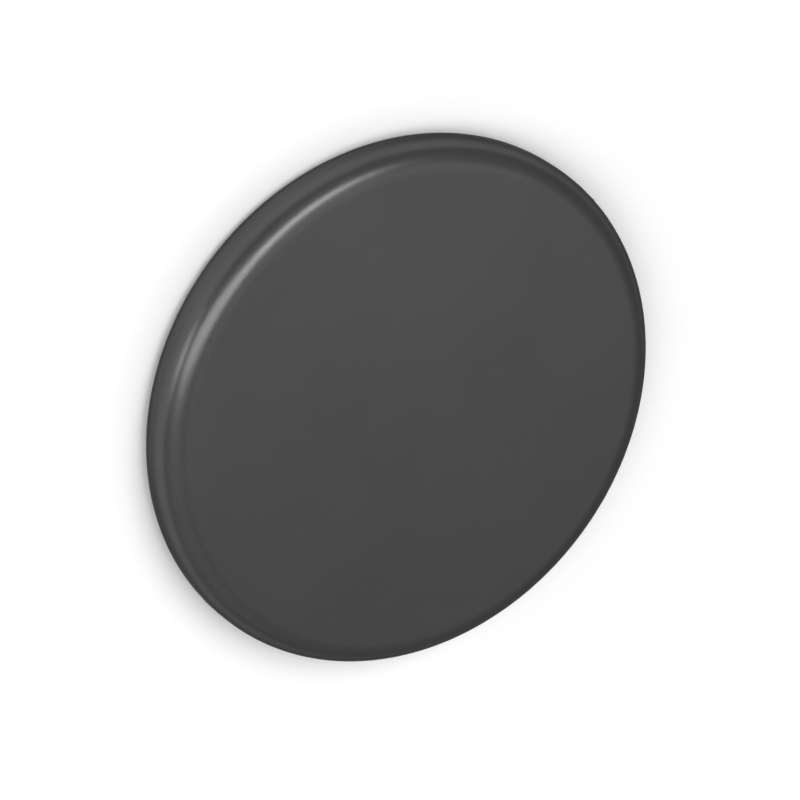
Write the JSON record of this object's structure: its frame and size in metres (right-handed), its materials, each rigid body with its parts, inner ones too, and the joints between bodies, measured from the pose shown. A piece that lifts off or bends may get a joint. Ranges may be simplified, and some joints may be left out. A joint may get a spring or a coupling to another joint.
{
  "type": "disc magnet",
  "caption": "Thin round disc magnet with rounded edges and a satin dark grey coat, for holding papers and small steel parts.",
  "frame": {"origin": "centre of the lower pole face, on the surface that the disc lies on", "axes": "+Z along the disc's axis, from the lower pole face to the upper one; X and Y lie in the face, and any turn about Z is the same"},
  "size_m": [0.0202, 0.0202, 0.0022],
  "materials": {
    "satin_coat": "satin dark grey coat"
  },
  "bodies": {
    "root": {"magnet_disc": "satin_coat"}
  },
  "joints": []
}
